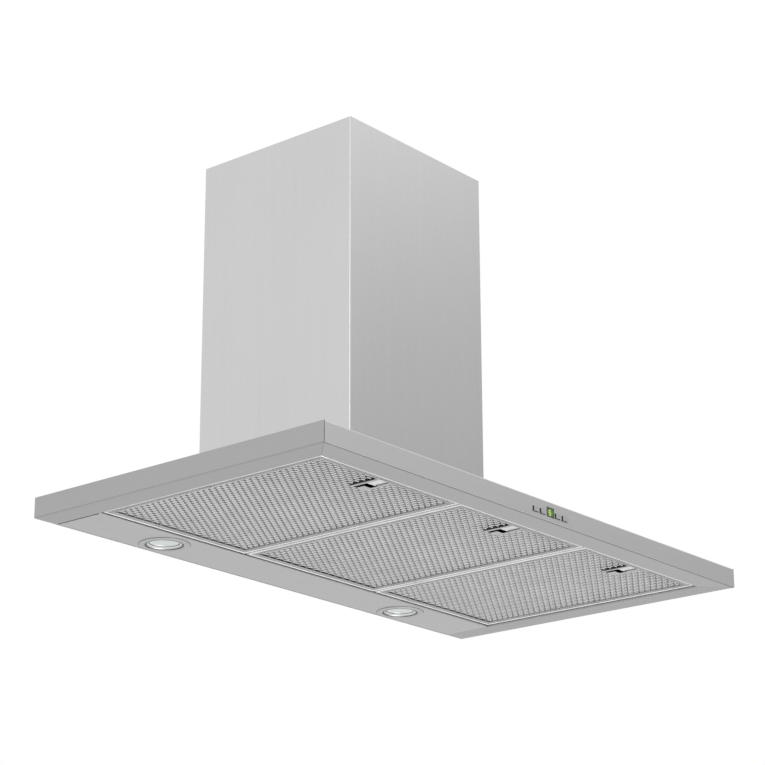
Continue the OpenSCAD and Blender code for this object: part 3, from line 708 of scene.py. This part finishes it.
def build_lamp_clip(side, centre, glass_edge, cone_top):
    """The bright ring that holds the glass, on the upper half of the trim's cone."""
    depth = 1.45 * MM
    start = 0.2 * MM             # out from the glass's edge, along the cone
    slant = 0.65 * MM            # of the inner face, outwards
    top = (glass_edge + start, cone_top - start * CONE_SLOPE)
    foot = (top[0] + depth / CONE_SLOPE, top[1] - depth)
    inner = (top[0] + slant, foot[1])
    bm = bmesh.new()
    lathe(bm, centre, [top, foot, inner])
    make_object(f"{side}_lamp_clip", bm, "bead", "canopy")


# ---------- painted shade: black strip between the fascia and the front rim ---

def build_front_seal():
    """A black strip, a little above the fascia's lower edge: painted shade for the dark seam."""
    shell_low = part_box("canopy_shell")[0]
    rim_low, rim_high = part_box("front_rim")
    sheet = 1 * MM
    gap = 0.05 * MM
    pressed_in = 0.25 * MM
    low_y = shell_low.y + sheet + gap
    high_y = rim_low.y + pressed_in
    middle_y = (low_y + high_y) / 2
    base_z = 0.75 * MM
    top_z = rim_high.z * 0.3     # about a third of the way up the rim
    corner = 0.15 * MM
    rim_corner = 0.1 * MM
    crown = 0.05 * MM
    short = 1 * MM               # at each end
    section = [(low_y, base_z + corner), (low_y + corner, base_z), (middle_y, base_z - crown),
               (high_y - rim_corner, base_z), (high_y, base_z + corner), (middle_y, top_z), (low_y, top_z)]
    bm = bmesh.new()
    solid_between(bm, *([(x, y, z) for y, z in section] for x in (rim_low.x + short, rim_high.x - short)))
    make_object("front_shadow_strip", bm, "black", "canopy")


# ---------- display digit ----------

SEGMENTS_OF_FIVE = ("top", "upper_left", "middle", "lower_right", "bottom")


def build_digit():
    """The lit figure on the display, made of five bars."""
    low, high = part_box("display_window")
    off_x, off_z = -1 * MM, -0.5 * MM
    centre_x = (low.x + high.x) / 2 + off_x
    centre_z = (low.z + high.z) / 2 + off_z
    width = 4.4 * MM
    height = 7.2 * MM
    bar = 1.1 * MM
    thickness = 0.1 * MM
    face = low.y - 0.02 * MM
    half_h = height / 2
    places = {
        "top": (0, half_h - bar / 2, "flat"),
        "middle": (0, 0, "flat"),
        "bottom": (0, -half_h + bar / 2, "flat"),
        "upper_left": (-width / 2 + bar / 2, half_h / 2, "upright"),
        "lower_right": (width / 2 - bar / 2, -half_h / 2, "upright"),
    }
    bm = bmesh.new()
    for segment in SEGMENTS_OF_FIVE:
        x, z, way = places[segment]
        long = width / 2 if way == "flat" else half_h / 2
        outline = [(-long, 0), (-long + bar / 2, bar / 2), (long - bar / 2, bar / 2), (long, 0),
                   (long - bar / 2, -bar / 2), (-long + bar / 2, -bar / 2)]
        if way == "upright":
            outline = [(-v, u) for u, v in outline]
        prism(bm, [(centre_x + x + u, centre_z + z + v) for u, v in outline], face, face + thickness)
    make_object("display_digit", bm, "digit", "canopy", smooth_angle=None)


# ---------- latch springs ----------

COIL_TURNS = 9
COIL_STEPS = 14              # in each turn
WIRE_R = 0.28 * MM
WIRE_SIDES = 6


def coil_along_y(bm, low, high):
    """A coil of wire that fills the box low..high, with its axis along Y."""
    centre = (low + high) / 2
    radius = (high.z - low.z) / 2
    along = Vector((0, 1, 0))
    around = [2 * math.pi * k / WIRE_SIDES for k in range(WIRE_SIDES)]
    steps = COIL_TURNS * COIL_STEPS
    rings = []
    for i in range(steps + 1):
        turn = 2 * math.pi * i / COIL_STEPS
        out = Vector((math.cos(turn), 0, math.sin(turn)))
        y = low.y + WIRE_R + (high.y - low.y - 2 * WIRE_R) * i / steps
        middle = Vector((centre.x, y, centre.z)) + out * (radius - WIRE_R)
        rings.append([
            bm.verts.new(middle + (out * math.cos(a) + along * math.sin(a)) * WIRE_R) for a in around
        ])
    tube(bm, rings)


def build_springs():
    """The coil springs of the latches, built at rest; the real springs shorten as a latch is pulled."""
    for side in SIDES:
        low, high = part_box(f"{side}_latch_spring")
        bm = bmesh.new()
        coil_along_y(bm, low, high)
        coil = make_object(f"{side}_spring_coil", bm, "spring", f"{side}_filter",
                           smooth_angle=math.radians(80))
        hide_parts(f"{side}_latch_spring")
        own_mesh(coil)


# ---------- stage ----------

def build_stage():
    """A plain pale floor, far enough below to leave room for low_box."""
    bm = bmesh.new()
    half = 60
    floor_z = -4.6
    corners = ((-1, -1), (1, -1), (1, 1), (-1, 1))
    bm.faces.new([bm.verts.new((x * half, y * half, floor_z)) for x, y in corners])
    mesh = bpy.data.meshes.new("floor")
    bm.to_mesh(mesh)
    bm.free()
    shader = Shader("floor_paint")
    shader.link(shader.tones(shader.noise(0.7), grey(0.78), grey(0.82)), "Base Color")
    shader.set(roughness=0.9)
    mesh.materials.append(shader.material)
    floor = bpy.data.objects.new("floor", mesh)
    bpy.context.scene.collection.objects.link(floor)


DIM_SIDE = Vector((0.8, -0.45, -0.4))                    # the lower right front
WORLD_STOPS = ((0.56, 1.0), (0.85, 0.4), (1.0, 0.28))    # cosine of the angle to DIM_SIDE, and brightness


def build_world():
    """White all round, and dimmer towards DIM_SIDE."""
    world = bpy.data.worlds.new("studio")
    bpy.context.scene.world = world
    world.use_nodes = True
    tree = world.node_tree
    coords = tree.nodes.new("ShaderNodeTexCoord")
    towards = tree.nodes.new("ShaderNodeVectorMath")
    towards.operation = "DOT_PRODUCT"
    towards.inputs[1].default_value = DIM_SIDE.normalized()
    tree.links.new(coords.outputs["Generated"], towards.inputs[0])
    ramp = tree.nodes.new("ShaderNodeValToRGB")
    stops = ramp.color_ramp.elements
    stops.new(WORLD_STOPS[1][0])
    for stop, (place, level) in zip(stops, WORLD_STOPS):
        stop.position = place
        stop.color = (*grey(level), 1)
    tree.links.new(towards.outputs["Value"], ramp.inputs["Fac"])
    background = tree.nodes["Background"]
    tree.links.new(ramp.outputs["Color"], background.inputs["Color"])
    background.inputs["Strength"].default_value = 1.0


def soft_box(name, spot, target, width, height, radiance):
    """A rectangular lamp that faces target; a mirror shows its radiance on top of the world behind it."""
    data = bpy.data.lights.new(name, "AREA")
    data.shape = "RECTANGLE"
    data.size = width
    data.size_y = height
    data.energy = radiance * math.pi * width * height
    obj = bpy.data.objects.new(name, data)
    bpy.context.scene.collection.objects.link(obj)
    obj.location = spot
    obj.rotation_mode = "QUATERNION"
    obj.rotation_quaternion = (Vector(target) - Vector(spot)).to_track_quat("-Z", "Y")


def build_lights():
    """Three soft boxes.

    camera_side_box is on the left and shows in the flue's front left fold. right_box is weak and fills the
    right front. low_box is what the filter mesh mirrors.
    """
    centre = (0, 0, 0.2)
    soft_box("camera_side_box", (-6.4, -0.9, 2.4), centre, 2.4, 2.8, 2.0)
    soft_box("right_box", (5.0, -4.4, 4.6), centre, 2.0, 2.0, 0.5)
    soft_box("low_box", (0.5, -1.0, -4.4), centre, 3.6, 3.2, 3.3)


# ---------- camera ----------

CAMERA_AZIMUTH = math.radians(-50.19)
CAMERA_ELEVATION = math.radians(-19.25)
CAMERA_ROLL = math.radians(-0.15)
CAMERA_DISTANCE = 3.353
CAMERA_TARGET = Vector((-0.0428, 0, 0.239))
SENSOR_WIDTH = 36            # mm, as is the focal length
FOCAL_LENGTH = 113.46


def build_camera():
    a, e = CAMERA_AZIMUTH, CAMERA_ELEVATION
    back = Vector((math.sin(a) * math.cos(e), -math.cos(a) * math.cos(e), math.sin(e)))
    right = Vector((0, 0, 1)).cross(back).normalized()
    up = back.cross(right)
    rolled_right = right * math.cos(CAMERA_ROLL) + up * math.sin(CAMERA_ROLL)
    rolled_up = up * math.cos(CAMERA_ROLL) - right * math.sin(CAMERA_ROLL)
    data = bpy.data.cameras.new("camera")
    data.sensor_width = SENSOR_WIDTH
    data.lens = FOCAL_LENGTH
    data.clip_start = 0.05
    data.clip_end = 200
    camera = bpy.data.objects.new("camera", data)
    bpy.context.scene.collection.objects.link(camera)
    turn = Matrix((rolled_right, rolled_up, back)).transposed().to_4x4()
    camera.matrix_world = Matrix.Translation(CAMERA_TARGET + back * CAMERA_DISTANCE) @ turn
    bpy.context.scene.camera = camera


# ---------- everything ----------

dress_nodes()
soften_edges()
build_filters()
build_lamps()
build_front_seal()
build_digit()
build_springs()
build_stage()
build_world()
build_lights()
build_camera()
bpy.context.scene.view_settings.view_transform = "Standard"
